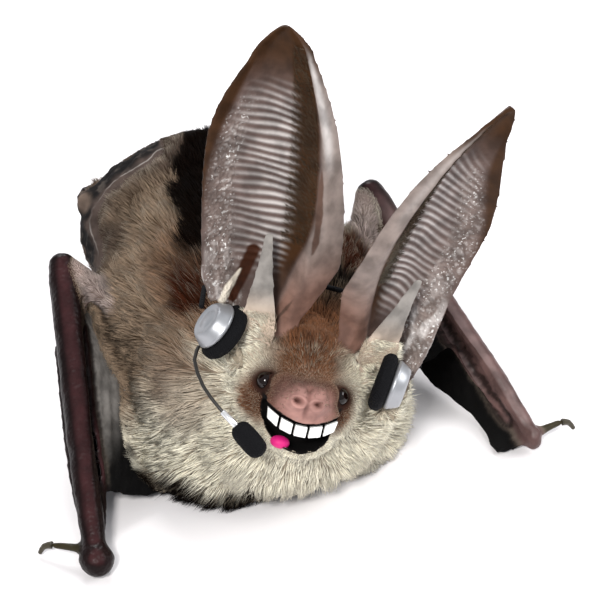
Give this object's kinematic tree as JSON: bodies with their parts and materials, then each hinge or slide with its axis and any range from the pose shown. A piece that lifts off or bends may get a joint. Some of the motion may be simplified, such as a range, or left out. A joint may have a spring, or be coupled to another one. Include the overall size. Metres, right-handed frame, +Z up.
{
  "type": "long-eared bat figure",
  "caption": "Brown long-eared bat at life size, resting on wrists and belly with its ears up, grinning and wearing a small headset with a boom microphone.",
  "frame": {"origin": "on the floor, in the middle of the flat on which the belly rests", "axes": "+Z up, the bat faces -Y with its head turned a little to its right, its left side is +X"},
  "size_m": [0.0692, 0.0697, 0.0577],
  "materials": {
    "fur_brown": "dense soft fur",
    "fur_cream": "dense soft fur",
    "ear_skin": "thin, slightly shiny skin",
    "wing_skin": "smooth dark skin",
    "eye": "wet gloss",
    "claw": "horn",
    "tooth": "glossy",
    "tongue": "wet",
    "headset_black": "foam and matte plastic",
    "headset_silver": "satin"
  },
  "bodies": {
    "root": {"abdomen": "fur_brown", "chest": "fur_brown", "ear_cup_left": "headset_silver", "ear_cup_right": "headset_silver", "ear_left": "ear_skin", "ear_pad_left": "headset_black", "ear_pad_right": "headset_black", "ear_right": "ear_skin", "eye_left": "eye", "eye_right": "eye", "finger_3_left": "wing_skin", "finger_3_right": "wing_skin", "finger_4_left": "wing_skin", "finger_4_right": "wing_skin", "flank_web_left": "wing_skin", "flank_web_right": "wing_skin", "foot_left": "wing_skin", "foot_right": "wing_skin", "forearm_left": "wing_skin", "forearm_right": "wing_skin", "head": "fur_brown", "headband": "headset_black", "jaw": "fur_cream", "mic_boom": "headset_black", "microphone": "headset_black", "neck": "fur_cream", "shin_left": "wing_skin", "shin_right": "wing_skin", "tail": "wing_skin", "tail_membrane_left": "wing_skin", "tail_membrane_right": "wing_skin", "thigh_left": "wing_skin", "thigh_right": "wing_skin", "thumb_claw_left": "claw", "thumb_claw_right": "claw", "thumb_left": "wing_skin", "thumb_right": "wing_skin", "tongue": "tongue", "tooth_1": "tooth", "tooth_2": "tooth", "tooth_3": "tooth", "tooth_4": "tooth", "tooth_5": "tooth", "tragus_left": "ear_skin", "tragus_right": "ear_skin", "upper_arm_left": "wing_skin", "upper_arm_right": "wing_skin", "wing_fold_left": "wing_skin", "wing_fold_right": "wing_skin", "wrist_left": "wing_skin", "wrist_right": "wing_skin"}
  },
  "joints": []
}
